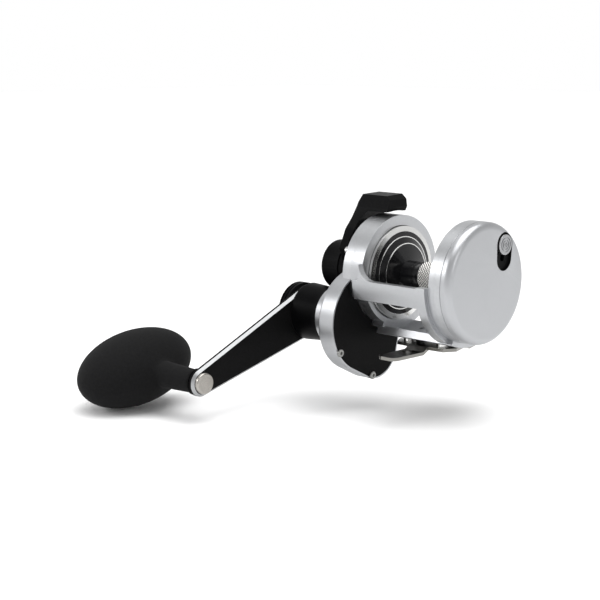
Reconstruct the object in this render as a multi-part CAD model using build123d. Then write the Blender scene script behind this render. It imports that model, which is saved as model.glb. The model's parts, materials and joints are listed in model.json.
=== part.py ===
from build123d import *
import os
from math import acos, atan2, cos, hypot, pi, radians, sin, tan

# A two-speed lever-drag trolling reel: frame, spool, gear train, drag stack, lever, handle and foot.
# +X points to the clicker side and -X to the handle side, along the spool's axis. -Y points to the
# rod's tip, +Y to the angler and +Z up. The origin is under the spool, on the underside of the foot's
# tongues. Millimetres.

# ---- driving dimensions -------------------------------------------------------------------
SPOOL_AT = (0.0, 45.5)  # (Y, Z) of the spool axis
GEAR_AT = (-19.5, 16.2)  # (Y, Z) of the gear shaft's axis
KNOB_AT = (-113.0, -16.4)  # (Y, Z) of the knob's axis

RING_R, OPENING_R = 36.0, 29.6  # handle-side frame ring and its opening
CAP_R = 37.0
FLANGE_R, ARBOR_R = 29.2, 8.3
HOUSING_R, HOUSING_WALL = 32.5, 1.0
LOWER_LOBE = ((-11.0, -2.0), 20.0)  # the gear housing's lower end

# stations along X
RIGHT_RING = (-35.5, -26.5)
LEFT_RING = (26.5, 30.5)
STRUT = (19.0, 25.5)
CAP_FACE, CAP_WALL, CAP_ROUND = 42.0, 2.2, 4.5
CAP_SEAT = 35.9  # open end of the shaft's seat inside the cap
COVER = (-37.5, -35.5)
PLATE_FACE = -42.0  # outside of the round part of the side plate
PLATE_WALL = 1.2
NECK_STEP, NECK_END = -50.8, -53.0  # the side plate's neck, and the lever's pivot on it
HOUSING_FACE = -48.0
BOSS_END = -63.5
HIGH_GEAR, LOW_GEAR = (-41.9, -39.1), (-46.0, -43.0)
LEVER_HUB, LEVER_BLADE, PADDLE_END = (-64.5, -51.5), (-59.5, -53.5), -28.5
PRESET = (-80.5, -65.0)
ARM = (-90.5, -85.5)
NUT_END = -97.5
COLLAR_END = -92.0
KNOB_MIDDLE = -150.3
KNOB_HALF, KNOB_TILT = (29.0, 41.0, 22.8), 12.0

# stations of the inner works along X
SPOOL_SHAFT, GEAR_SHAFT = (-78.0, 38.4), (-92.5, -36.3)
SLEEVE = (-49.4, -33.0)  # sleeve of the two pinions
PUSH_END = -51.0  # outer end of the pressure plate's push tube
PRESSURE_PLATE, DRIVE_PLATE, DRAG_WASHER = (-31.0, -29.3), (-34.6, -33.0), (-28.6, -27.22)
LEVER_CAM, FOLLOWER, THRUST = (-59.0, -56.2), (-55.5, -53.3), (-53.28, -51.4)
CLUTCH, BEARING_STOP = (-57.0, -50.5), -49.6
RATCHET, TONGUE = (33.42, 35.0), (33.8, 34.9)

# gears
MODULE, PRESSURE = 0.8, radians(20)
HIGH_TEETH, HIGH_PINION = 73, 15
LOW_TEETH, LOW_PINION = 61, 27
BACKLASH = 0.2  # taken off each tooth's thickness

# radii of shafts and bearing seats
SHAFT_R, SLEEVE_R, GEAR_SHAFT_R = 3.0, 5.5, 5.0
PUSH_R = 3.85  # push tube of the pressure plate
SMALL_SEAT, LARGE_SEAT, CAM_SEAT = 6.5, 9.5, 8.0
LEVER_PIVOT_R = 11.0
THREAD_R, TAPPED_R = 1.2, 1.25
FIT, RUN = 0.02, 0.05  # radial clearance of a fixed and of a running fit

# frame bars: radii, and sweeps in degrees about the spool axis
BAR_R, BAR_INNER_R, BRIDGE_R, PILLAR_R = 39.5, 35.2, 40.0, 39.0
CROSSBAR, FLARE, STRUT_SWEEP = (181, 199), (166, 182), (180, 258)
BRIDGE, PILLAR = (246, 294), (316, 336)
RELIEF, RELIEF_R = (200, 244), 33.0  # where the handle-side ring is cut back
FLARE_END, FLARE_RISE, FLARE_CUT_R = -15.0, 11.3, 12.0

# foot
FOOT_SCREW_R = 1.5
FOOT_THICK, PAD_RISE = 2.0, 2.5
FOOT_SCREWS = [(x, y) for x in (-13, 13) for y in (-6, 6)]


# ---- helpers ------------------------------------------------------------------------------
def rod(radius, x0, x1, at=SPOOL_AT):
    """A cylinder along X."""
    return Pos((x0 + x1) / 2, at[0], at[1]) * Rot(0, 90, 0) * Cylinder(radius, abs(x1 - x0))


def tube(outer, inner, x0, x1, at=SPOOL_AT):
    """A ring along X."""
    return rod(outer, x0, x1, at) - rod(inner, x0 - 1, x1 + 1, at)


def turned(profile, at=SPOOL_AT):
    """A solid of revolution about X from (x, radius) corners."""
    face = Plane.XZ * make_face(Polyline(*profile, close=True))
    return Pos(0, at[0], at[1]) * revolve(face, Axis.X)


def slab(sketch, x0, x1):
    """A sketch drawn in (Y, Z), extruded from x0 to x1."""
    return extrude(Plane.YZ.offset(x0) * sketch, amount=x1 - x0)


def disc(radius, at=SPOOL_AT):
    return Pos(*at) * Circle(radius)


def about(radius, angle, at=SPOOL_AT):
    """The point (Y, Z) at an angle in degrees, from the rear up over the top."""
    return at[0] + radius * cos(radians(angle)), at[1] + radius * sin(radians(angle))


def hull_of(*discs):
    """The convex outline round several discs, each ((Y, Z), radius)."""
    return make_hull([disc(r, at).edge() for at, r in discs])


def band(outer, inner, x0, x1, a0, a1):
    """Part of a ring about the spool axis, between two angles."""
    corners = [about(2 * outer, a0 + (a1 - a0) * i / 2) for i in range(3)]
    wedge = make_face(Polyline(SPOOL_AT, *corners, close=True))
    return tube(outer, inner, x0, x1) & slab(wedge, x0, x1)


def solid_of(shape):
    """The single solid of a shape."""
    solids = shape.solids()
    if len(solids) != 1:
        raise ValueError(f"expected one solid, found {len(solids)}")
    return solids[0]


def bearing(bore, outer, station, at):
    """A shielded ball bearing: a ring with a shallow groove in each face."""
    x0, x1 = station
    middle, groove = (bore + outer) / 2, (outer - bore) * 0.22
    body = tube(outer - FIT, bore + RUN, x0, x1, at)
    for lo, hi in ((x0 - 1, x0 + 0.25), (x1 - 0.25, x1 + 1)):
        body -= rod(middle + groove, lo, hi, at) - rod(middle - groove, lo - 1, hi + 1, at)
    return solid_of(body)


def button_screw(x, at, head_r, thread_r, length, outwards):
    """A socket button-head screw along X, its head standing out on the side given by the sign."""
    head_end, socket_end = x + outwards * head_r * 0.6, x + outwards * head_r * 0.2
    head = rod(head_r, x, head_end, at)
    head = chamfer(head.faces().sort_by(Axis.X)[-1 if outwards > 0 else 0].edges(), 0.4)
    return head + rod(thread_r, x - outwards * length, x, at) - rod(head_r * 0.4, socket_end, head_end, at)


def gear(teeth, station, at, phase):
    """An involute spur gear about X, its first tooth at the phase angle from +Y towards +Z."""
    pitch_r = MODULE * teeth / 2
    base_r, tip_r, root_r = pitch_r * cos(PRESSURE), pitch_r + 0.9 * MODULE, pitch_r - 1.15 * MODULE

    def involute(r):
        return tan(acos(base_r / r)) - acos(base_r / r) if r > base_r else 0.0

    half_pitch = pi / (2 * teeth) - BACKLASH / (2 * pitch_r)
    flank = [(r, half_pitch + involute(pitch_r) - involute(r)) for r in (root_r, pitch_r, tip_r)]
    sides = [(r, -h) for r, h in flank] + [(r, h) for r, h in reversed(flank)]
    points = []
    for tooth in range(teeth):
        middle = phase + 2 * pi * tooth / teeth
        points += [(r * cos(middle + h), r * sin(middle + h)) for r, h in sides]
    return slab(Pos(*at) * make_face(Polyline(*points, close=True)), *station)


LINE = atan2(SPOOL_AT[1] - GEAR_AT[1], SPOOL_AT[0] - GEAR_AT[0])  # from gear shaft to spool axis


# ---- frame, casings and foot --------------------------------------------------------------
def housing(inset=0.0):
    """Outline of the gear housing round the gear shaft."""
    return hull_of((GEAR_AT, HOUSING_R - inset), (LOWER_LOBE[0], LOWER_LOBE[1] - inset))


COVER_SCREWS = [(-45.3, -0.6), (-15.3, -19.2)]
PLATE_SCREWS = [about(32.8, angle) for angle in (60, 120, 330)]
CAP_SCREWS = [about(33.2, angle) for angle in (75, 150, 222, 305)]
STRIKE_AT, STRIKE_R = (-29.8, 60.8), 2.2


def frame():
    """One-piece frame: rings, front crossbar with its flare, lower strut, bridge and rear pillar."""
    body = tube(RING_R, OPENING_R, *RIGHT_RING) + tube(CAP_R, OPENING_R, *LEFT_RING)
    span = (RIGHT_RING[0] + 4.5, LEFT_RING[0] + 2)
    body -= band(RING_R + 2, RELIEF_R, *RIGHT_RING, *RELIEF)
    body += band(BAR_R, BAR_INNER_R, span[0], STRUT[1], *CROSSBAR)
    flare = band(BAR_R, BAR_INNER_R, RIGHT_RING[1] - 0.3, FLARE_END, *FLARE)
    hollow = Pos(FLARE_END, -RING_R, SPOOL_AT[1] + FLARE_RISE) * Rot(90, 0, 0)
    body += flare - hollow * Cylinder(FLARE_CUT_R, RING_R)
    body += band(BAR_R, BAR_INNER_R, *STRUT, *STRUT_SWEEP)
    body += band(CAP_R, BAR_INNER_R, STRUT[0], span[1], *STRUT_SWEEP)
    body += band(BRIDGE_R, BAR_INNER_R, *span, *BRIDGE) + band(PILLAR_R, BAR_INNER_R, *span, *PILLAR)
    for x, y in FOOT_SCREWS:
        body -= Pos(x, y, 8) * Cylinder(FOOT_SCREW_R + RUN, 12)
    for at in PLATE_SCREWS:
        body -= rod(TAPPED_R, RIGHT_RING[0] - 1, RIGHT_RING[0] + 6, at)
    for at in CAP_SCREWS:
        body -= rod(TAPPED_R, LEFT_RING[0] - 1, LEFT_RING[1] + 1, at)
    return solid_of(body)


def right_side_plate():
    """Silver handle-side shell: round plate, gear housing, gear-shaft boss and the lever's neck."""
    round_part = slab(disc(RING_R), PLATE_FACE, COVER[1])
    bulge = slab(housing(), HOUSING_FACE, COVER[1])
    bulge = fillet(bulge.faces().sort_by(Axis.X)[0].edges(), 1.8)
    body = round_part + bulge + rod(18.5, BOSS_END, HOUSING_FACE + 0.5, GEAR_AT)
    body += rod(13.5, NECK_STEP, PLATE_FACE + 0.5) + rod(LEVER_PIVOT_R, NECK_END, NECK_STEP + 0.3)
    inside = HOUSING_FACE + PLATE_WALL
    body -= slab(disc(RING_R - HOUSING_WALL), PLATE_FACE + PLATE_WALL, COVER[1] + 1)
    body -= slab(housing(HOUSING_WALL), inside, COVER[1] + 1)
    body -= rod(12.3, inside, PLATE_FACE + 2)
    body -= rod(LARGE_SEAT, BOSS_END - 1, inside + 1, GEAR_AT)
    body -= rod(LARGE_SEAT, BEARING_STOP, inside + 1) + rod(CAM_SEAT, NECK_END - 1, inside)
    for at in COVER_SCREWS:
        body += slab(disc(2.6, at) & housing(0.5), COVER[0] - PLATE_WALL, COVER[0])
        body -= rod(THREAD_R + FIT, COVER[0] - 3, COVER[1] + 1, at)
    for at in PLATE_SCREWS:
        body += slab(disc(3.0, at) & disc(RING_R - 0.5), PLATE_FACE + 0.5, COVER[0])
        body -= rod(TAPPED_R, PLATE_FACE - 1, COVER[1] + 1, at)
    return solid_of(body - rod(STRIKE_R + RUN, PLATE_FACE - 1, COVER[0], STRIKE_AT))


def gear_cover():
    """Black cover on the spool side of the gear housing, inside the side plate's rim."""
    outline = disc(RING_R - HOUSING_WALL - FIT) + housing(HOUSING_WALL + FIT)
    plate = slab(outline, *COVER)
    plate -= rod(CAM_SEAT, COVER[0] - 1, COVER[1] - 0.5, GEAR_AT)
    plate -= rod(LARGE_SEAT, COVER[0] - 1, COVER[1] + 1)
    for at in COVER_SCREWS + PLATE_SCREWS:
        plate -= rod(TAPPED_R, COVER[0] - 1, COVER[1] + 1, at)
    return solid_of(plate)


def screws(x, places, head_r, length, outwards):
    """A group of like button-head screws."""
    return Compound([solid_of(button_screw(x, at, head_r, THREAD_R, length, outwards)) for at in places])


CLICK_HIGH, CLICK_LOW = (15.9, 67.8), (15.4, 59.1)
CLICK_TRAVEL = 8.3
STEM_R = 1.5


def clicker_slot(inset):
    """Teardrop outline of the clicker's slot."""
    return hull_of((CLICK_HIGH, 7.6 - inset), (CLICK_LOW, 7.1 - inset))


def cap_outside(inset=0.0):
    """The cap's outer shape: a disc with its outer edge rounded."""
    body = rod(CAP_R - inset, LEFT_RING[1], CAP_FACE - inset)
    return fillet(body.faces().sort_by(Axis.X)[-1].edges(), CAP_ROUND)


def left_side_cap():
    """Round silver cap: a cup with a groove round it, the shaft's seat and the clicker's slot."""
    cup = cap_outside() - rod(CAP_R - CAP_WALL, LEFT_RING[1] - 1, CAP_FACE - CAP_WALL)
    cup -= tube(CAP_R + 1, CAP_R - 0.25, 34.8, 35.2)
    cup += tube(7.5, 5.5, CAP_SEAT, CAP_FACE - CAP_WALL + 0.5) - slab(clicker_slot(0), CAP_SEAT - 1, CAP_FACE)
    for at in CAP_SCREWS:
        cup += slab(disc(2.4, at) & disc(CAP_R - 1), LEFT_RING[1], CAP_FACE - CAP_WALL + 0.3)
        cup -= rod(TAPPED_R, LEFT_RING[1] - 1, LEFT_RING[1] + 5, at)
    return solid_of(cup - slab(clicker_slot(0), CAP_FACE - CAP_WALL - 1, CAP_FACE + 1))


def clicker_slot_insert():
    """Black teardrop tray in the cap, with a slot for the clicker's stem."""
    tray = slab(clicker_slot(FIT), CAP_FACE - 2.7, CAP_FACE) & cap_outside(0.1)
    tray -= slab(clicker_slot(0.4), CAP_FACE - 1.5, CAP_FACE + 1)
    track = hull_of((CLICK_HIGH, STEM_R + 0.4), (click_end(), STEM_R + 0.4))
    return solid_of(tray - slab(track, CAP_FACE - 4, CAP_FACE + 1))


def click_end():
    """Where the clicker's stem stands when it is switched on."""
    run = hypot(CLICK_LOW[0] - CLICK_HIGH[0], CLICK_LOW[1] - CLICK_HIGH[1])
    return tuple(h + (l - h) * CLICK_TRAVEL / run for h, l in zip(CLICK_HIGH, CLICK_LOW))


def clicker_button():
    """Dished, ribbed button with its stem."""
    face = CAP_FACE + 0.8
    body = rod(6.2, CAP_FACE - 1.2, face, CLICK_HIGH)
    body = fillet(body.faces().sort_by(Axis.X)[-1].edges(), 0.5)
    for r in (4.6, 3.0, 1.4):
        body -= tube(r, r - 0.7, face - 0.4, face + 1, CLICK_HIGH)
    return solid_of(body + rod(STEM_R, TONGUE[0] - 0.1, CAP_FACE - 1.1, CLICK_HIGH))


def click_tongue():
    """Spring-steel tongue on the clicker's stem, pointing at the ratchet."""
    tip = (CLICK_HIGH[0] - 7.2, CLICK_HIGH[1] - 5.7)
    blade = slab(hull_of((CLICK_HIGH, 2.6), (tip, 0.4)), *TONGUE)
    return solid_of(blade - rod(STEM_R + FIT, TONGUE[0] - 1, TONGUE[1] + 1, CLICK_HIGH))


def click_ratchet():
    """Toothed disc on the spool's left hub."""
    count, tip, root = 24, 10.8, 9.6
    radii = [tip if i % 2 else root for i in range(2 * count)]
    points = [(r * cos(pi * i / count), r * sin(pi * i / count)) for i, r in enumerate(radii)]
    wheel = make_face(Polyline(*points, close=True)) - Circle(SMALL_SEAT + FIT)
    return solid_of(slab(Pos(*SPOOL_AT) * wheel, *RATCHET))


def reel_foot():
    """Stamped steel foot: a raised pad under the frame and a tongue at each end."""
    side = [(7.0, -44), (7.5, -12), (18, -11.5), (22.5, -4), (7.0, 44)]
    plan = make_face(Polyline(*side, *[(-x, y) for x, y in reversed(side)], close=True))
    plan = fillet(plan.vertices().group_by(Axis.Y)[0] + plan.vertices().group_by(Axis.Y)[-1], 4)
    under = [(-50, 0), (-17, 0), (-12, PAD_RISE), (12, PAD_RISE), (18, 0), (50, 0)]
    top = [(y, z + FOOT_THICK) for y, z in reversed(under)]
    strip = extrude(Plane.YZ * make_face(Polyline(*under, *top, close=True)), amount=40, both=True)
    foot = extrude(plan, amount=20, both=True) & strip
    for x, y in FOOT_SCREWS:
        foot -= Pos(x, y, 3) * Cylinder(FOOT_SCREW_R + RUN, 6) + Pos(x, y, 2.8) * Cylinder(2.9, 1.7)
    return solid_of(foot)


def foot_screws():
    """Four slotted screws up through the foot and the spacers into the frame."""
    screw = Pos(0, 0, 3.1) * Cylinder(2.8, 1.0) + Pos(0, 0, 6) * Cylinder(FOOT_SCREW_R, 6)
    screw -= Pos(0, 0, 2.8) * Box(7, 0.8, 0.8)
    return Compound([solid_of(Pos(x, y, 0) * screw) for x, y in FOOT_SCREWS])


def foot_spacers():
    """Four short spacers between the foot and the frame's curved bridge."""
    ring = Pos(0, 0, 6.5) * (Cylinder(3.4, 4) - Cylinder(FOOT_SCREW_R + RUN, 6))
    return Compound([solid_of(Pos(x, y, 0) * ring - rod(BRIDGE_R, -30, 30)) for x, y in FOOT_SCREWS])


# ---- spool and drag -----------------------------------------------------------------------
SPOOL_MIDDLE = 1.0
KEY_PINS, PIN_R = [about(17, angle) for angle in (30, 150, 270)], 1.75


def spool():
    """Spool with dished flanges, bright rims and a slim arbor."""
    side = [(20.0, ARBOR_R), (22.5, 18.65), (24.7, 22.7), (25.3, 26.2), (25.9, FLANGE_R),
            (31.0, FLANGE_R), (31.0, 26.8), (28.2, 26.4), (28.2, 4.0)]
    right = [(SPOOL_MIDDLE - d, r) for d, r in side]
    left = [(SPOOL_MIDDLE + d, r) for d, r in reversed(side)]
    body = turned(right + left) + tube(9.0, 4.0, 29.0, 33.4)
    return solid_of(body - rod(SMALL_SEAT, 29.4, 34) - rod(SMALL_SEAT, -28, -23.2))


def spool_shaft():
    """Fixed steel shaft through the reel."""
    body = rod(SHAFT_R, *SPOOL_SHAFT)
    return solid_of(chamfer(body.edges().filter_by(GeomType.CIRCLE), 0.5))


def pressure_plate():
    """Pressure plate with its keying pins and the push tube out to the lever's cam."""
    body = rod(25.0, *PRESSURE_PLATE) + rod(PUSH_R, PUSH_END, PRESSURE_PLATE[0] + 0.5)
    for at in KEY_PINS:
        body += rod(PIN_R, DRIVE_PLATE[0] + 0.4, PRESSURE_PLATE[0] + 0.5, at)
    return solid_of(body - rod(SHAFT_R + RUN, PUSH_END - 1, PRESSURE_PLATE[1] + 1))


def drive_plate():
    """Plate on the pinion's sleeve that turns the pressure plate by its pins."""
    body = tube(22.0, SLEEVE_R + FIT, *DRIVE_PLATE)
    for at in KEY_PINS:
        body -= rod(PIN_R + RUN, DRIVE_PLATE[0] - 1, DRIVE_PLATE[1] + 1, at)
    return solid_of(body)


def pinion_cluster():
    """Both pinions cut on one sleeve, running on the pressure plate's push tube."""
    meet = LINE + pi
    body = gear(HIGH_PINION, HIGH_GEAR, SPOOL_AT, meet + pi / HIGH_PINION)
    body += gear(LOW_PINION, LOW_GEAR, SPOOL_AT, meet + pi / LOW_PINION)
    body += rod(SLEEVE_R, SLEEVE[0], HIGH_GEAR[0]) + rod(SLEEVE_R, HIGH_GEAR[1], SLEEVE[1])
    body += rod(4.9, SLEEVE[0] + 0.4, SLEEVE[1] - 1)
    return solid_of(body - rod(PUSH_R + RUN, SLEEVE[0] - 1, SLEEVE[1] + 1))


def main_gear(teeth, station, bore, holes, hole_r, hole_at):
    """Main gear on the gear shaft, lightened by a ring of holes."""
    body = gear(teeth, station, GEAR_AT, LINE) - rod(bore, station[0] - 1, station[1] + 1, GEAR_AT)
    for i in range(holes):
        body -= rod(hole_r, station[0] - 1, station[1] + 1, about(hole_at, 360 * i / holes, GEAR_AT))
    return solid_of(body)


def gear_shaft():
    """Hollow handle shaft through both main gears."""
    return solid_of(rod(GEAR_SHAFT_R, *GEAR_SHAFT, GEAR_AT) - rod(2.5, NUT_END, HIGH_GEAR[0], GEAR_AT))


def drag_lever():
    """Lever on the spool axis whose thumb paddle folds inwards over the side plate."""
    arm = [(-15.3, 2), (-20, 14), (-14, 27), (-11, 33), (-9, 40), (-7.5, 48), (7.5, 48.5), (9, 40),
           (10, 28), (15.3, 2)]
    bent = [(LEVER_BLADE[0], -16), (LEVER_BLADE[1], -16), (LEVER_BLADE[1], 20), (-50.5, 32), (-45, 38),
            (-30, 38), (PADDLE_END, 41), (PADDLE_END, 45.5), (-31.5, 48.5), (-50.5, 49), (-54, 43),
            (LEVER_BLADE[0], 26)]
    outline = slab(Pos(*SPOOL_AT) * make_face(Polyline(*arm, close=True)), LEVER_BLADE[0], PADDLE_END)
    profile = Plane.XZ * make_face(Polyline(*bent, close=True))
    blade = outline & Pos(0, *SPOOL_AT) * extrude(profile, amount=30, both=True)
    blade -= rod(38.5, -45, -20)
    body = blade + rod(15.5, *LEVER_HUB)
    body -= rod(LEVER_PIVOT_R + RUN, NECK_END - 0.4, -50)
    return solid_of(body - rod(CAM_SEAT, -60, -50) - rod(3.6, -66, -50))


def preset_knob():
    """Smooth round preset knob, hollow for its spring washers."""
    body = rod(16.2, *PRESET)
    body = fillet(body.faces().sort_by(Axis.X)[0].edges(), 3.5)
    body -= rod(CAM_SEAT, PRESET[1] - 5.5, PRESET[1] + 1)
    return solid_of(body - rod(SHAFT_R + RUN, SPOOL_SHAFT[0] - 1, PRESET[1] + 1))


def preset_springs():
    """Spring washers in the preset knob."""
    return Compound([solid_of(tube(7.4, SHAFT_R + FIT, x, x + 0.9)) for x in (-69.6, -68.4, -67.2, -66.0)])


# ---- handle -------------------------------------------------------------------------------
SPINDLE_R, SOCKET_R = 3.4, 4.4  # knob spindle, and the knob's socket for its bushings
SPINDLE_END = -140.0


def handle_hub():
    """Black hub between the side plate's boss and the arm."""
    bore, inner = GEAR_SHAFT_R + FIT, BOSS_END - 1
    side = [(inner, bore), (inner, 17.0), (ARM[1] + 1, 18.4), (ARM[1], 18.0), (ARM[1], bore)]
    return solid_of(turned(side, GEAR_AT))


def handle_arm():
    """Tapered flat arm with wide chamfers on both faces."""
    arm = slab(hull_of((GEAR_AT, 16.5), (KNOB_AT, 8.5)), *ARM)
    for end in (0, -1):
        arm = chamfer(arm.faces().sort_by(Axis.X)[end].edges(), 1.6)
    arm -= rod(GEAR_SHAFT_R + FIT, ARM[0] - 1, ARM[1] + 1, GEAR_AT)
    return solid_of(arm - rod(SPINDLE_R + FIT, ARM[0] - 1, ARM[1] + 1, KNOB_AT))


def handle_nut():
    """Grooved black nut that clamps the arm."""
    body = rod(17.9, NUT_END, ARM[0] - FIT, GEAR_AT)
    body = chamfer(body.faces().sort_by(Axis.X)[0].edges(), 1.0)
    for groove in (NUT_END + 2.5, NUT_END + 4.7):
        body -= tube(20, 17.1, groove - 0.4, groove + 0.4, GEAR_AT)
    body -= rod(6.4, NUT_END - 1, GEAR_SHAFT[0] + 0.5, GEAR_AT)
    return solid_of(body - rod(GEAR_SHAFT_R + FIT, NUT_END - 1, ARM[1], GEAR_AT))


def shift_button():
    """Button that shifts between the speeds, with its rod down the gear shaft."""
    head = rod(6.0, NUT_END - 4, NUT_END, GEAR_AT)
    head = fillet(head.faces().sort_by(Axis.X)[0].edges(), 1.2)
    return solid_of(head + rod(2.2, NUT_END - 0.5, LOW_GEAR[0] - 0.5, GEAR_AT))


def knob_spindle():
    """Steel spindle of the knob with its domed head on the arm's inner face."""
    head = rod(6.6, ARM[1] + FIT, ARM[1] + 2.5, KNOB_AT)
    head = fillet(head.faces().sort_by(Axis.X)[-1].edges(), 1.0)
    return solid_of(head + rod(SPINDLE_R, SPINDLE_END, ARM[1] + 0.5, KNOB_AT))


def knob_grip():
    """Egg-shaped foam knob on a tapering neck."""
    seam_aside = Rot(0, 0, 90) * Sphere(1)  # the sphere's seam stays clear of the neck
    egg = Rot(KNOB_TILT, 0, 0) * scale(seam_aside, by=KNOB_HALF)
    tip, end = KNOB_HALF[0], COLLAR_END - 0.3 - KNOB_MIDDLE
    neck = [(end, 0), (end, 7.25), (tip + 6.3, 9.2), (tip + 0.3, 11.5), (tip - 5.7, 14.5), (tip - 16.7, 14.5),
            (tip - 16.7, 0)]
    centre = (0, 0)
    body = egg + turned(neck, centre) - rod(SOCKET_R, SPINDLE_END - 1.3 - KNOB_MIDDLE, end + 1, centre)
    return solid_of(Pos(KNOB_MIDDLE, *KNOB_AT) * body)


def knob_bushings():
    """Two bushings in the knob that run on the spindle."""
    return Compound([solid_of(tube(SOCKET_R - FIT, SPINDLE_R + RUN, x, x + 6, KNOB_AT)) for x in (-138, -99)])


# ---- every node ---------------------------------------------------------------------------
BEARINGS = {  # bore, outer radius, station and axis
    "left_shaft_bearing": (SHAFT_R, 5.5, (36.2, 38.2), SPOOL_AT),
    "spool_bearing_left": (SHAFT_R, SMALL_SEAT, (29.4, 33.3), SPOOL_AT),
    "spool_bearing_right": (SHAFT_R, SMALL_SEAT, (-27.1, -23.3), SPOOL_AT),
    "pinion_bearing_inner": (SLEEVE_R, LARGE_SEAT, (-37.4, -35.6), SPOOL_AT),
    "pinion_bearing_outer": (SLEEVE_R, LARGE_SEAT, (-49.5, -47.0), SPOOL_AT),
    "gear_shaft_bearing_inner": (GEAR_SHAFT_R, CAM_SEAT, (-37.5, -36.1), GEAR_AT),
    "gear_shaft_bearing_middle": (GEAR_SHAFT_R, LARGE_SEAT, (-49.6, -46.9), GEAR_AT),
    "gear_shaft_bearing_outer": (GEAR_SHAFT_R, LARGE_SEAT, (-63.0, -59.0), GEAR_AT),
}
NODES = {
    "frame": frame(),
    "right_side_plate": right_side_plate(),
    "gear_cover": gear_cover(),
    "gear_cover_screws": screws(COVER[1], COVER_SCREWS, 2.5, 3.1, 1),
    "side_plate_screws": screws(PLATE_FACE, PLATE_SCREWS, 2.3, 11.5, -1),
    "left_side_cap": left_side_cap(),
    "left_cap_screws": screws(LEFT_RING[0], CAP_SCREWS, 1.9, 8.0, -1),
    "clicker_slot_insert": clicker_slot_insert(),
    "reel_foot": reel_foot(),
    "foot_screws": foot_screws(),
    "foot_spacers": foot_spacers(),
    "spool_shaft": spool_shaft(),
    "roller_clutch": solid_of(tube(LARGE_SEAT - FIT, GEAR_SHAFT_R + RUN, *CLUTCH, GEAR_AT)),
    "preset_springs": preset_springs(),
    "spool": spool(),
    "arbor_sleeve": solid_of(tube(8.9, ARBOR_R + FIT, -5.5, 7.5)),
    "click_ratchet": click_ratchet(),
    "drag_washer": solid_of(tube(24.5, 10.0, *DRAG_WASHER)),
    "clicker_button": clicker_button(),
    "click_tongue": click_tongue(),
    "high_main_gear": main_gear(HIGH_TEETH, HIGH_GEAR, GEAR_SHAFT_R + FIT, 6, 4.8, 17),
    "low_main_gear": main_gear(LOW_TEETH, LOW_GEAR, GEAR_SHAFT_R + RUN, 5, 4.0, 14),
    "pinion_cluster": pinion_cluster(),
    "drive_plate": drive_plate(),
    "pressure_plate": pressure_plate(),
    "gear_shaft": gear_shaft(),
    "drag_lever": drag_lever(),
    "lever_cam": solid_of(tube(CAM_SEAT - FIT, SHAFT_R + 0.6, *LEVER_CAM)),
    "cam_follower": solid_of(tube(7.5, SHAFT_R + RUN, *FOLLOWER)),
    "thrust_bearing": solid_of(tube(7.0, SHAFT_R + RUN, *THRUST)),
    "preset_knob": preset_knob(),
    "strike_button": solid_of(rod(STRIKE_R, PLATE_FACE - 2, PLATE_FACE + 1.7, STRIKE_AT)),
    "handle_hub": handle_hub(),
    "handle_arm": handle_arm(),
    "handle_nut": handle_nut(),
    "shift_button": shift_button(),
    "knob_spindle": knob_spindle(),
    "knob_collar": solid_of(tube(8.2, SPINDLE_R + FIT, COLLAR_END, ARM[0] - FIT, KNOB_AT)),
    "knob_bushings": knob_bushings(),
    "knob_grip": knob_grip(),
}

NODES |= {name: bearing(*sizes) for name, sizes in BEARINGS.items()}

os.makedirs("parts", exist_ok=True)
for name, shape in NODES.items():
    export_step(shape, f"parts/{name}.step")
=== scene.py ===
"""Looks of the trolling reel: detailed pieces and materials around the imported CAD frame. Metres."""

import json
import math

import bmesh
import bpy
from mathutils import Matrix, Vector


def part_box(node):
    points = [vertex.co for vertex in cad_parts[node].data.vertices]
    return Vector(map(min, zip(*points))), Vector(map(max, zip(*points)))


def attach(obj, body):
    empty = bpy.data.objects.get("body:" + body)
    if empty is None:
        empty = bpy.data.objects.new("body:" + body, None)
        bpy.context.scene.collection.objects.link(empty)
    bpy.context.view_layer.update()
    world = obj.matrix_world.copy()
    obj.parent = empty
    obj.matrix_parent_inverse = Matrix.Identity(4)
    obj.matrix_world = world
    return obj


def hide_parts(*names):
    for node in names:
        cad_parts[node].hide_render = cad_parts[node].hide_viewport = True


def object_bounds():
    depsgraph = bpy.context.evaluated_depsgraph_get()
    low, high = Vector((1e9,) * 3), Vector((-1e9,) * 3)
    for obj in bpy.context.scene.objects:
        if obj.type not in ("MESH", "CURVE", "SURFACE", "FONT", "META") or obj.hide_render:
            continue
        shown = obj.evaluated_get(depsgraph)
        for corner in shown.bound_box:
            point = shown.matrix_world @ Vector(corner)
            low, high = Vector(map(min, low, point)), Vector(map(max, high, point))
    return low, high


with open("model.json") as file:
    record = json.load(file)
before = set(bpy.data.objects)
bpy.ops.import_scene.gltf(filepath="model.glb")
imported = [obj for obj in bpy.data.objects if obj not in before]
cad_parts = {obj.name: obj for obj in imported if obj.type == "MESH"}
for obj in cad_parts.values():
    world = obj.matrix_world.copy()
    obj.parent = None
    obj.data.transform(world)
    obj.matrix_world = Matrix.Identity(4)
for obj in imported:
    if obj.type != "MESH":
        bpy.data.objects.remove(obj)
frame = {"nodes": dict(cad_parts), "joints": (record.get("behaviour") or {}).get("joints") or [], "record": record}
CAD_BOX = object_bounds()

MM = 0.001
RING_STEPS = 144
AXES = {joint["name"]: Vector(joint["pos_m"]) for joint in frame["joints"] if "pos_m" in joint}
SPOOL_AXIS, KNOB_AXIS = AXES["drag_slip"], AXES["knob_spin"]

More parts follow.
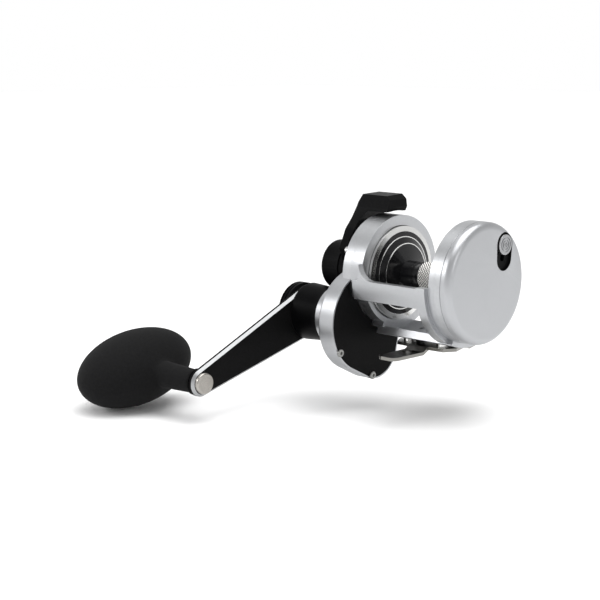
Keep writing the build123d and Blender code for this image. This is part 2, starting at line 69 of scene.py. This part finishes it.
# sizes of the pieces made here, which follow the CAD solids that they dress
KNOB_HALF, KNOB_TILT = (29.0 * MM, 41.0 * MM, 22.8 * MM), math.radians(12)
NECK_R, NECK_ROOT_R, NECK_BLEND = 7.25 * MM, 9.4 * MM, 7.0 * MM
KNOB_STEPS, POLE_R = 96, 0.15 * MM
KNURL_DEPTH, KNURL_STARTS, KNURL_STATIONS = 0.5 * MM, 30, 104
SPOOL_MIDDLE = 1.0 * MM
FLANGE_RIM = ((25.3, 26.0), (25.9, 29.3), (30.9, 29.3), (30.9, 28.9), (26.4, 28.9), (25.8, 26.0))
RIM_PROUD = 0.22 * MM
CAPACITY_RINGS = ((24.7, 22.7), (22.5, 18.65))  # distance from the spool's middle, and radius, in mm
RING_HALF_WIDTH, RING_THICK = 0.28 * MM, 0.2 * MM

# where Blender's pointiness finds sharp outer edges, and the hollows that get painted shade
OUTER_EDGE, PAINTED_SHADE_HOLLOW = (0.53, 0.60), (0.44, 0.54)
CHAMFER_SLOPE = (0.45, 0.93)

LENS, SENSOR = 86.3, 36
CAMERA_AT, AZIMUTH, ELEVATION = (0.5489, -0.6814, 0.1822), math.radians(44.19), math.radians(9.84)
FLOOR_HALF, FLOOR_GAP = 6, 1 * MM
SUN_POWER, SUN_SPREAD = 1.7, math.radians(70)
SKY = (("From Min", 0.05), ("From Max", 0.75), ("To Min", 1.0), ("To Max", 0.55))
LIGHTS = {  # offset from the object's middle, size and power
    "top": ((0.1, 0.1, 0.9), 0.7, 3),
    "front_left": ((-0.6, -0.8, 0.5), 0.35, 2.5),
    "clicker_side": ((1.0, -0.1, 0.45), 0.35, 0.7),
}


# ---- node helpers -------------------------------------------------------------------------
class Shader:
    """A principled material with procedural detail, built up one layer at a time."""

    def __init__(self, name, color, metallic=0.0, roughness=0.4, coat=0.0, sheen=0.0, specular=0.5):
        self.material = bpy.data.materials.new(name)
        self.material.use_nodes = True
        self.nodes = self.material.node_tree.nodes
        self.links = self.material.node_tree.links
        self.surface = self.nodes["Principled BSDF"]
        for socket, value in (("Metallic", metallic), ("Roughness", roughness), ("Coat Weight", coat),
                              ("Sheen Weight", sheen), ("Specular IOR Level", specular)):
            self.surface.inputs[socket].default_value = value
        self.place = self.nodes.new("ShaderNodeTexCoord")
        self.color = color
        self.normal = None
        self.roughness = roughness

    def feed(self, socket, value):
        """Links a node's output to a socket, or sets the socket to a plain number or colour."""
        if isinstance(value, bpy.types.NodeSocket):
            self.links.new(value, socket)
        elif isinstance(value, tuple):
            socket.default_value = (*value, 1)
        else:
            socket.default_value = value

    def math(self, operation, *values, clamp=False):
        node = self.nodes.new("ShaderNodeMath")
        node.operation, node.use_clamp = operation, clamp
        for socket, value in zip(node.inputs, values):
            self.feed(socket, value)
        return node.outputs[0]

    def stretched(self, stretch):
        node = self.nodes.new("ShaderNodeMapping")
        node.inputs["Scale"].default_value = stretch
        self.links.new(self.place.outputs["Object"], node.inputs["Vector"])
        return node.outputs["Vector"]

    def noise(self, scale, detail=4, stretch=(1, 1, 1)):
        node = self.nodes.new("ShaderNodeTexNoise")
        node.inputs["Scale"].default_value, node.inputs["Detail"].default_value = scale, detail
        self.links.new(self.stretched(stretch), node.inputs["Vector"])
        return node.outputs["Fac"]

    def cells(self, scale):
        node = self.nodes.new("ShaderNodeTexVoronoi")
        node.inputs["Scale"].default_value = scale
        self.links.new(self.place.outputs["Object"], node.inputs["Vector"])
        return node.outputs["Distance"]

    def between(self, value, low, high):
        node = self.nodes.new("ShaderNodeMapRange")
        self.links.new(value, node.inputs["Value"])
        node.inputs["From Min"].default_value, node.inputs["From Max"].default_value = low, high
        return node.outputs["Result"]

    def tint(self, color, amount):
        """Mixes another colour in, where amount is 1."""
        mix = self.nodes.new("ShaderNodeMix")
        mix.data_type = "RGBA"
        self.links.new(amount, mix.inputs["Factor"])
        self.feed(mix.inputs["A"], self.color)
        self.feed(mix.inputs["B"], color)
        self.color = mix.outputs["Result"]

    def vary_roughness(self, value, swing):
        shifted = self.math("MULTIPLY_ADD", value, swing, self.roughness - swing / 2, clamp=True)
        self.links.new(shifted, self.surface.inputs["Roughness"])

    def bump(self, height, depth, strength=0.5):
        node = self.nodes.new("ShaderNodeBump")
        node.inputs["Distance"].default_value, node.inputs["Strength"].default_value = depth, strength
        self.links.new(height, node.inputs["Height"])
        if self.normal is not None:
            self.links.new(self.normal, node.inputs["Normal"])
        self.normal = node.outputs["Normal"]

    def soft_edges(self, radius):
        node = self.nodes.new("ShaderNodeBevel")
        node.samples = 4
        node.inputs["Radius"].default_value = radius
        self.normal = node.outputs["Normal"]

    def worn_edges(self, color, strength):
        geometry = self.nodes.new("ShaderNodeNewGeometry")
        edge = self.between(geometry.outputs["Pointiness"], *OUTER_EDGE)
        patchy = self.math("MULTIPLY", edge, self.noise(900))
        self.tint(color, self.math("MULTIPLY", patchy, strength, clamp=True))

    def on_chamfers(self):
        """1 on faces that slope to the X axis by about 45 degrees."""
        split = self.nodes.new("ShaderNodeSeparateXYZ")
        self.links.new(self.place.outputs["Normal"], split.inputs[0])
        slope = self.math("ABSOLUTE", split.outputs["X"])
        over = self.math("GREATER_THAN", slope, CHAMFER_SLOPE[0])
        return self.math("MULTIPLY", over, self.math("LESS_THAN", slope, CHAMFER_SLOPE[1]))

    def done(self):
        self.feed(self.surface.inputs["Base Color"], self.color)
        if self.normal is not None:
            self.links.new(self.normal, self.surface.inputs["Normal"])
        return self.material


# ---- materials ----------------------------------------------------------------------------
def satin_silver():
    s = Shader("satin_silver", (0.43, 0.437, 0.45), metallic=1.0, roughness=0.36)
    s.soft_edges(0.25 * MM)
    s.tint((0.38, 0.388, 0.402), s.math("MULTIPLY", s.noise(60), 0.35))
    s.vary_roughness(s.noise(420, detail=6), 0.10)
    s.bump(s.noise(5200, detail=2), 0.02 * MM, 0.35)
    s.worn_edges((0.60, 0.61, 0.62), 0.4)
    return s.done()


def black_metal(name, roughness, bright_chamfers=False):
    s = Shader(name, (0.0012, 0.0012, 0.0014), metallic=0.0, roughness=roughness, specular=0.03)
    s.soft_edges(0.2 * MM)
    s.tint((0.0025, 0.0025, 0.0028), s.noise(150))
    s.vary_roughness(s.noise(500, detail=6), 0.14)
    s.bump(s.noise(3600, detail=3), 0.02 * MM, 0.4)
    s.worn_edges((0.04, 0.04, 0.04), 0.2)
    if bright_chamfers:
        bare = s.on_chamfers()
        s.tint((0.36, 0.365, 0.37), bare)
        s.links.new(bare, s.surface.inputs["Metallic"])
    return s.done()


def gloss_black():
    s = Shader("gloss_black", (0.004, 0.004, 0.0045), metallic=0.0, roughness=0.13, coat=0.12, specular=0.25)
    s.tint((0.007, 0.007, 0.008), s.noise(80))
    s.vary_roughness(s.noise(700, detail=5), 0.05)
    s.bump(s.noise(900, stretch=(6, 1, 1)), 0.008 * MM, 0.2)
    return s.done()


def bright_steel():
    s = Shader("bright_steel", (0.70, 0.70, 0.69), metallic=1.0, roughness=0.19)
    s.soft_edges(0.15 * MM)
    s.tint((0.62, 0.62, 0.61), s.noise(120))
    s.vary_roughness(s.noise(900, stretch=(12, 1, 1)), 0.12)
    s.bump(s.noise(2600, stretch=(10, 1, 1)), 0.008 * MM, 0.3)
    return s.done()


def knurled_steel():
    """Steel whose hollows are dull and darkened with painted shade, so that the diamonds stand out."""
    s = Shader("knurled_steel", (0.62, 0.61, 0.59), metallic=1.0, roughness=0.24)
    geometry = s.nodes.new("ShaderNodeNewGeometry")
    # painted shade: the knurl's hollows get a dark colour where shade would fall
    painted_hollow_shade = s.math("SUBTRACT", 1.0, s.between(geometry.outputs["Pointiness"], *PAINTED_SHADE_HOLLOW))
    s.tint((0.06, 0.058, 0.055), painted_hollow_shade)
    s.vary_roughness(s.noise(900), 0.1)
    s.bump(s.noise(3000), 0.008 * MM, 0.3)
    return s.done()


def machined(name, color, roughness):
    s = Shader(name, color, metallic=1.0, roughness=roughness)
    s.tint(tuple(c * 0.8 for c in color), s.noise(200))
    s.vary_roughness(s.noise(1500, stretch=(10, 1, 1)), 0.15)
    s.bump(s.noise(2200, stretch=(14, 1, 1)), 0.012 * MM, 0.35)
    return s.done()


def foam():
    s = Shader("black_foam", (0.005, 0.005, 0.0052), roughness=0.9, sheen=0.02, specular=0.08)
    s.tint((0.011, 0.011, 0.0115), s.noise(700, detail=6))
    s.vary_roughness(s.noise(260), 0.12)
    s.bump(s.cells(1500), 0.10 * MM, 0.45)
    s.bump(s.noise(3800, detail=5), 0.05 * MM, 0.5)
    return s.done()


def matte_plastic():
    s = Shader("black_plastic", (0.002, 0.002, 0.0022), roughness=0.5, specular=0.05)
    s.soft_edges(0.15 * MM)
    s.tint((0.004, 0.004, 0.0043), s.noise(300))
    s.vary_roughness(s.noise(900), 0.12)
    s.bump(s.noise(4200, detail=3), 0.03 * MM, 0.5)
    return s.done()


def carbon():
    s = Shader("drag_carbon", (0.03, 0.03, 0.032), roughness=0.4)
    s.tint((0.09, 0.09, 0.095), s.math("GREATER_THAN", s.noise(900, stretch=(1, 3, 1)), 0.5))
    s.vary_roughness(s.noise(800), 0.2)
    s.bump(s.cells(900), 0.05 * MM)
    return s.done()


SILVER, GLOSS, STEEL, FOAM = satin_silver(), gloss_black(), bright_steel(), foam()
ARM_BLACK = black_metal("black_bright_chamfers", 0.36, bright_chamfers=True)
BY_SLOT = {
    "satin_silver": SILVER,
    "black_metal": black_metal("black_metal", 0.40),
    "black_plastic": matte_plastic(),
    "bright_steel": STEEL,
    "machined_steel": machined("machined_steel", (0.50, 0.50, 0.50), 0.30),
    "gear_bronze": machined("gear_bronze", (0.52, 0.36, 0.17), 0.28),
    "drag_carbon": carbon(),
    "black_foam": FOAM,
}
SCREW_STEEL = machined("screw_steel", (0.30, 0.30, 0.29), 0.30)
BY_NODE = {
    "spool": GLOSS,
    "handle_arm": ARM_BLACK,
    "handle_nut": ARM_BLACK,
    "knob_spindle": machined("spindle_steel", (0.42, 0.40, 0.37), 0.26),
    "reel_foot": machined("foot_steel", (0.24, 0.235, 0.22), 0.20),
    "clicker_button": machined("button_silver", (0.40, 0.405, 0.415), 0.34),
    "gear_cover_screws": SCREW_STEEL,
    "side_plate_screws": SCREW_STEEL,
    "left_cap_screws": SCREW_STEEL,
    "foot_screws": SCREW_STEEL,
}


def dress_cad_nodes():
    """Gives every CAD node the material of its slot, or one of its own."""
    for part in frame["record"]["subparts"]:
        mesh = frame["nodes"][part["node"]].data
        mesh.materials.clear()
        mesh.materials.append(BY_NODE.get(part["node"], BY_SLOT[part["material_slot"]]))


# ---- mesh helpers -------------------------------------------------------------------------
def finish_mesh(name, bm, material, body, sharp=35):
    bmesh.ops.recalc_face_normals(bm, faces=bm.faces)
    mesh = bpy.data.meshes.new(name)
    bm.to_mesh(mesh)
    bm.free()
    mesh.materials.append(material)
    for face in mesh.polygons:
        face.use_smooth = True
    mesh.set_sharp_from_angle(angle=math.radians(sharp))
    piece = bpy.data.objects.new(name, mesh)
    bpy.context.collection.objects.link(piece)
    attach(piece, body)
    return piece


def rings_mesh(rows, closed):
    """A skin through rows of points. A closed one joins the last row to the first, or else has caps."""
    bm = bmesh.new()
    grid = [[bm.verts.new(p) for p in row] for row in rows]
    pairs = zip(grid, grid[1:] + (grid[:1] if closed else []))
    for low, high in pairs:
        for i in range(len(low)):
            j = (i + 1) % len(low)
            bm.faces.new((low[i], low[j], high[j], high[i]))
    if not closed:
        bm.faces.new(grid[0])
        bm.faces.new(grid[-1])
    return bm


def lathe(name, profile, centre, material, body):
    """A closed ring of section (x, radius), turned about an axis along X."""
    rows = []
    for x, r in profile:
        turns = [2 * math.pi * i / RING_STEPS for i in range(RING_STEPS)]
        rows.append([(x, centre.y + r * math.cos(t), centre.z + r * math.sin(t)) for t in turns])
    return finish_mesh(name, rings_mesh(rows, closed=True), material, body)


# ---- pieces -------------------------------------------------------------------------------
def knob_row(x, tip, neck_end):
    """One ring of the knob's skin: the egg's ellipse, or the neck where that is wider, blended."""
    half_x, half_long, half_short = KNOB_HALF
    middle = tip + half_x
    swell = math.sqrt(max(0.0, 1 - min(1.0, abs(x - middle) / half_x)**2))
    share = min(1.0, max(0.0, (neck_end - x) / (neck_end - middle)))
    neck = (NECK_R + (NECK_ROOT_R - NECK_R) * share) if x > middle else 0.0
    radii = []
    for half in (half_long, half_short):
        egg = half * swell
        near = max(0.0, NECK_BLEND - abs(egg - neck)) / NECK_BLEND if neck else 0.0
        radii.append(max(egg, neck, POLE_R) + near**2 * NECK_BLEND / 5)
    row = []
    for k in range(KNOB_STEPS):
        t = 2 * math.pi * k / KNOB_STEPS
        u, v = radii[0] * math.cos(t), radii[1] * math.sin(t)
        row.append((x, KNOB_AXIS.y + u * math.cos(KNOB_TILT) - v * math.sin(KNOB_TILT),
                    KNOB_AXIS.z + u * math.sin(KNOB_TILT) + v * math.cos(KNOB_TILT)))
    return row


def knob_foam():
    """Foam knob: an egg whose neck flows into it, lofted along the knob's axis."""
    low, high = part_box("knob_grip")
    rows = []
    for i in range(KNOB_STEPS + 1):
        x = low.x + (high.x - low.x) * (1 - math.cos(math.pi * i / KNOB_STEPS)) / 2
        rows.append(knob_row(x, low.x, high.x))
    piece = finish_mesh("knob_foam", rings_mesh(rows, closed=False), FOAM, "knob", sharp=60)
    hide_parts("knob_grip")


def arbor_knurl():
    """Diamond-knurled band round the middle of the arbor."""
    low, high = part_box("arbor_sleeve")
    outer, columns = (high.z - low.z) / 2, KNURL_STARTS * 8
    rows = []
    for i in range(KNURL_STATIONS + 1):
        x = low.x + (high.x - low.x) * i / KNURL_STATIONS
        edge = min(1.0, min(i, KNURL_STATIONS - i) / 4)
        lead = KNURL_STARTS * (x - low.x) / outer
        row = []
        for k in range(columns):
            t = 2 * math.pi * k / columns
            left, right = KNURL_STARTS * t + lead, KNURL_STARTS * t - lead
            ridge = abs(math.sin(left / 2)) * abs(math.sin(right / 2))
            r = outer - KNURL_DEPTH * (1 - ridge * edge)
            row.append((x, SPOOL_AXIS.y + r * math.cos(t), SPOOL_AXIS.z + r * math.sin(t)))
        rows.append(row)
    skin = rings_mesh(rows, closed=False)
    piece = finish_mesh("arbor_knurl", skin, knurled_steel(), "spool", sharp=80)
    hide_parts("arbor_sleeve")


def flange_trim():
    """Bright rims and thin capacity rings on both of the spool's flanges."""
    for side, word in ((-1, "right"), (1, "left")):
        section = [(SPOOL_MIDDLE + side * (d * MM - RIM_PROUD), r * MM) for d, r in FLANGE_RIM]
        lathe(f"spool_rim_{word}", section, SPOOL_AXIS, STEEL, "spool")
        for number, (d, r) in enumerate(CAPACITY_RINGS):
            near = SPOOL_MIDDLE + side * (d * MM - RING_THICK)
            far = near + side * 2 * RING_THICK
            inner, outer = r * MM - RING_HALF_WIDTH, r * MM + RING_HALF_WIDTH
            ring = [(near, inner), (near, outer), (far, outer), (far, inner)]
            lathe(f"capacity_ring_{word}_{number}", ring, SPOOL_AXIS, STEEL, "spool")


# ---- stage --------------------------------------------------------------------------------
def camera():
    data = bpy.data.cameras.new("camera")
    data.lens, data.sensor_width = LENS, SENSOR
    data.clip_start, data.clip_end = 0.01, 20
    cam = bpy.data.objects.new("camera", data)
    bpy.context.collection.objects.link(cam)
    back = Vector((math.sin(AZIMUTH) * math.cos(ELEVATION), -math.cos(AZIMUTH) * math.cos(ELEVATION),
                   math.sin(ELEVATION)))
    cam.location = CAMERA_AT
    cam.rotation_mode = "QUATERNION"
    cam.rotation_quaternion = (-back).to_track_quat("-Z", "Y")
    bpy.context.scene.camera = cam


def area_light(name, place, aim, size, power):
    data = bpy.data.lights.new(name, "AREA")
    data.size, data.energy = size, power
    lamp = bpy.data.objects.new(name, data)
    lamp.location = place
    lamp.rotation_mode = "QUATERNION"
    lamp.rotation_quaternion = (Vector(aim) - Vector(place)).to_track_quat("-Z", "Y")
    bpy.context.collection.objects.link(lamp)


def overhead_glow():
    """Broad even light from straight above, which keeps the paper white out to the horizon."""
    data = bpy.data.lights.new("overhead", "SUN")
    data.energy, data.angle = SUN_POWER, SUN_SPREAD
    bpy.context.collection.objects.link(bpy.data.objects.new("overhead", data))


def light_falls_off_upwards(tree):
    """White round the horizon and greyer overhead, so that round metal shows a gradient."""
    place, split = tree.nodes.new("ShaderNodeTexCoord"), tree.nodes.new("ShaderNodeSeparateXYZ")
    fade = tree.nodes.new("ShaderNodeMapRange")
    tree.links.new(place.outputs["Generated"], split.inputs[0])
    tree.links.new(split.outputs["Z"], fade.inputs["Value"])
    for socket, value in SKY:
        fade.inputs[socket].default_value = value
    tree.links.new(fade.outputs["Result"], tree.nodes["Background"].inputs["Strength"])


def paper_floor(height):
    """Plain white paper under the object."""
    bm = bmesh.new()
    bmesh.ops.create_grid(bm, x_segments=8, y_segments=8, size=FLOOR_HALF)
    mesh = bpy.data.meshes.new("floor")
    bm.to_mesh(mesh)
    bm.free()
    floor = bpy.data.objects.new("floor", mesh)
    floor.location.z = height
    bpy.context.collection.objects.link(floor)
    paper = Shader("paper", (0.93, 0.93, 0.93), roughness=0.9)
    paper.bump(paper.noise(300), 0.05 * MM, 0.1)
    mesh.materials.append(paper.done())


def studio():
    """Paper, a bright surround and soft lamps."""
    low, high = CAD_BOX
    centre = (low + high) / 2
    paper_floor(low.z - FLOOR_GAP)
    world = bpy.data.worlds.new("studio")
    bpy.context.scene.world = world
    world.use_nodes = True
    world.node_tree.nodes["Background"].inputs["Color"].default_value = (1, 1, 1, 1)
    light_falls_off_upwards(world.node_tree)
    overhead_glow()
    for name, (offset, size, power) in LIGHTS.items():
        area_light(name, centre + Vector(offset), centre, size, power)
    bpy.context.scene.view_settings.view_transform = "Standard"


camera()
dress_cad_nodes()
knob_foam()
arbor_knurl()
flange_trim()
studio()
